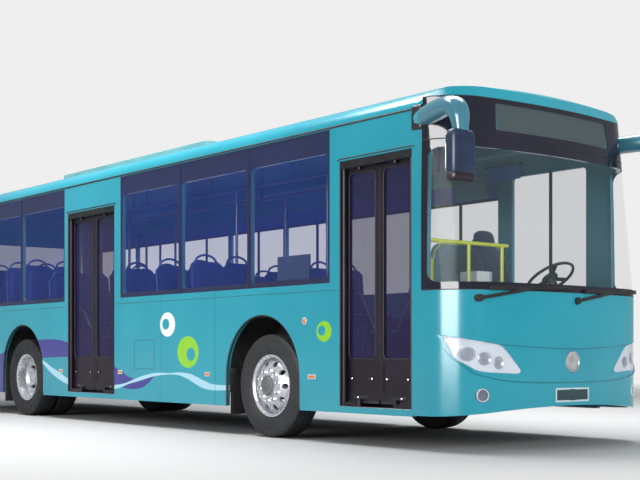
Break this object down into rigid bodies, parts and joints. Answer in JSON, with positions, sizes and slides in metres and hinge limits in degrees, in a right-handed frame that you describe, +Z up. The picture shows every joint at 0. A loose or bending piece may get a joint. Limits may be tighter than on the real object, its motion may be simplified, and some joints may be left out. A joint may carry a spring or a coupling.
{
  "type": "city bus",
  "caption": "Single-deck low-entry city bus with two double doors on its right side, large bonded windows, mirrors on arched arms and dual rear wheels.",
  "frame": {"origin": "centre of the overall box on the ground", "axes": "+X forward, +Y to the left of the bus, +Z up"},
  "size_m": [11.07, 2.99, 3.225],
  "materials": {
    "chassis_paint": "chassis black",
    "dark_trim": "matt",
    "dash_plastic": "grained",
    "door_dark": "dark",
    "door_glass": "tinted",
    "driver_fabric": "woven dark blue",
    "engine_iron": "cast",
    "exhaust_steel": "dull",
    "fare_white": "white",
    "hatch_plastic": "translucent grey",
    "lamp_lens": "clear lens",
    "mirror_shell": "teal arm and dark head",
    "rail_yellow": "gloss yellow",
    "roof_unit_paint": "satin teal",
    "screen_glass": "clear laminated",
    "screen_panel": "grey-teal panel",
    "seat_blue": "moulded blue",
    "side_glass": "tinted",
    "sign_black": "blank display",
    "spring_rubber": "matt",
    "step_floor": "ribbed floor covering",
    "tail_lens": "red lens",
    "tank_aluminium": "satin",
    "teal_paint": "gloss teal",
    "tyre_rubber": "rubber",
    "wheel_silver": "silver"
  },
  "bodies": {
    "body": {"chassis_frame": "chassis_paint", "dashboard": "dash_plastic", "destination_sign": "sign_black", "driver_screen": "screen_panel", "driver_seat": "driver_fabric", "engine_block": "engine_iron", "exhaust": "exhaust_steel", "fare_box": "fare_white", "floor_deck": "step_floor", "front_axle": "chassis_paint", "front_bumper": "teal_paint", "front_mask": "teal_paint", "fuel_tank": "tank_aluminium", "handrails": "rail_yellow", "headlamps": "lamp_lens", "mirrors": "mirror_shell", "passenger_seats": "seat_blue", "rear_axle": "chassis_paint", "rear_bumper": "teal_paint", "rear_panel": "teal_paint", "rear_window": "side_glass", "roof_panel": "teal_paint", "roof_unit": "roof_unit_paint", "side_panel_left": "teal_paint", "side_panel_right": "teal_paint", "side_windows": "side_glass", "step_wells": "step_floor", "suspension": "spring_rubber", "tail_lamps": "tail_lens", "wheel_boxes": "dark_trim", "window_bars": "dark_trim", "windscreen": "screen_glass", "wipers": "dark_trim"},
    "front_fore_column": {"door_column_front_fore": "door_dark"},
    "front_fore_leaf": {"door_leaf_front_fore": "door_dark", "door_glass_front_fore": "door_glass"},
    "front_aft_column": {"door_column_front_aft": "door_dark"},
    "front_aft_leaf": {"door_leaf_front_aft": "door_dark", "door_glass_front_aft": "door_glass"},
    "middle_fore_column": {"door_column_middle_fore": "door_dark"},
    "middle_fore_leaf": {"door_leaf_middle_fore": "door_dark", "door_glass_middle_fore": "door_glass"},
    "middle_aft_column": {"door_column_middle_aft": "door_dark"},
    "middle_aft_leaf": {"door_leaf_middle_aft": "door_dark", "door_glass_middle_aft": "door_glass"},
    "steering_left": {"steering_knuckle_left": "chassis_paint"},
    "front_wheel_left": {"tyre_front_left": "tyre_rubber", "rim_front_left": "wheel_silver"},
    "rear_wheel_left": {"tyre_rear_left": "tyre_rubber", "rim_rear_left": "wheel_silver"},
    "steering_right": {"steering_knuckle_right": "chassis_paint"},
    "front_wheel_right": {"tyre_front_right": "tyre_rubber", "rim_front_right": "wheel_silver"},
    "rear_wheel_right": {"tyre_rear_right": "tyre_rubber", "rim_rear_right": "wheel_silver"},
    "tie_rod": {"tie_rod": "chassis_paint"},
    "steering_wheel": {"steering_wheel": "dash_plastic"},
    "engine_lid": {"engine_lid": "teal_paint"},
    "roof_hatch": {"roof_hatch": "hatch_plastic"}
  },
  "joints": [
    {"name": "door_front_fore_column", "type": "hinge", "parent": "body", "child": "front_fore_column", "pos_m": [4.765, -1.22, 1.43], "axis": [0, 0, -1], "range_deg": [0, 88]},
    {"name": "door_front_fore_leaf", "type": "hinge", "parent": "front_fore_column", "child": "front_fore_leaf", "pos_m": [4.5615, -1.22, 1.43], "axis": [0, 0, 1], "range_deg": [0, 176]},
    {"name": "door_front_aft_column", "type": "hinge", "parent": "body", "child": "front_aft_column", "pos_m": [3.895, -1.22, 1.43], "axis": [0, 0, 1], "range_deg": [0, 88]},
    {"name": "door_front_aft_leaf", "type": "hinge", "parent": "front_aft_column", "child": "front_aft_leaf", "pos_m": [4.0985, -1.22, 1.43], "axis": [0, 0, -1], "range_deg": [0, 176]},
    {"name": "door_middle_fore_column", "type": "hinge", "parent": "body", "child": "middle_fore_column", "pos_m": [-0.185, -1.22, 1.43], "axis": [0, 0, -1], "range_deg": [0, 88]},
    {"name": "door_middle_fore_leaf", "type": "hinge", "parent": "middle_fore_column", "child": "middle_fore_leaf", "pos_m": [-0.441, -1.22, 1.43], "axis": [0, 0, 1], "range_deg": [0, 176]},
    {"name": "door_middle_aft_column", "type": "hinge", "parent": "body", "child": "middle_aft_column", "pos_m": [-1.265, -1.22, 1.43], "axis": [0, 0, 1], "range_deg": [0, 88]},
    {"name": "door_middle_aft_leaf", "type": "hinge", "parent": "middle_aft_column", "child": "middle_aft_leaf", "pos_m": [-1.009, -1.22, 1.43], "axis": [0, 0, -1], "range_deg": [0, 176]},
    {"name": "steer_left", "type": "hinge", "parent": "body", "child": "steering_left", "pos_m": [2.765, 0.915, 0.5], "axis": [0, 0, 1], "range_deg": [-40, 40]},
    {"name": "steer_right", "type": "hinge", "parent": "body", "child": "steering_right", "pos_m": [2.765, -0.915, 0.5], "axis": [0, 0, 1], "range_deg": [-40, 40]},
    {"name": "tie_rod_swing", "type": "hinge", "parent": "steering_left", "child": "tie_rod", "pos_m": [2.575, 0.915, 0.377], "axis": [0, 0, 1], "range_deg": [-40, 40]},
    {"name": "front_wheel_left_spin", "type": "hinge", "parent": "steering_left", "child": "front_wheel_left", "pos_m": [2.765, 1.085, 0.5], "axis": [0, 1, 0], "continuous": true},
    {"name": "rear_wheel_left_spin", "type": "hinge", "parent": "body", "child": "rear_wheel_left", "pos_m": [-2.565, 1.085, 0.5], "axis": [0, 1, 0], "continuous": true},
    {"name": "front_wheel_right_spin", "type": "hinge", "parent": "steering_right", "child": "front_wheel_right", "pos_m": [2.765, -1.085, 0.5], "axis": [0, 1, 0], "continuous": true},
    {"name": "rear_wheel_right_spin", "type": "hinge", "parent": "body", "child": "rear_wheel_right", "pos_m": [-2.565, -1.085, 0.5], "axis": [0, 1, 0], "continuous": true},
    {"name": "steering_wheel_turn", "type": "hinge", "parent": "body", "child": "steering_wheel", "pos_m": [4.72, 0.6, 1.51], "axis": [-0.5736, 0, 0.8192], "range_deg": [-720, 720]},
    {"name": "engine_lid_hinge", "type": "hinge", "parent": "body", "child": "engine_lid", "pos_m": [-5.521, 0, 1.423], "axis": [0, 1, 0], "range_deg": [0, 80]},
    {"name": "roof_hatch_hinge", "type": "hinge", "parent": "body", "child": "roof_hatch", "pos_m": [2.479, 0, 3.1325], "axis": [0, 1, 0], "range_deg": [0, 25]}
  ],
  "couplings": [
    {"joint": "door_front_fore_leaf", "follows": "door_front_fore_column", "ratio": 2},
    {"joint": "door_front_aft_column", "follows": "door_front_fore_column", "ratio": 1},
    {"joint": "door_front_aft_leaf", "follows": "door_front_fore_column", "ratio": 2},
    {"joint": "door_middle_fore_leaf", "follows": "door_middle_fore_column", "ratio": 2},
    {"joint": "door_middle_aft_column", "follows": "door_middle_fore_column", "ratio": 1},
    {"joint": "door_middle_aft_leaf", "follows": "door_middle_fore_column", "ratio": 2},
    {"joint": "steer_right", "follows": "steer_left", "ratio": 1},
    {"joint": "tie_rod_swing", "follows": "steer_left", "ratio": -1},
    {"joint": "steering_wheel_turn", "follows": "steer_left", "ratio": 18}
  ]
}
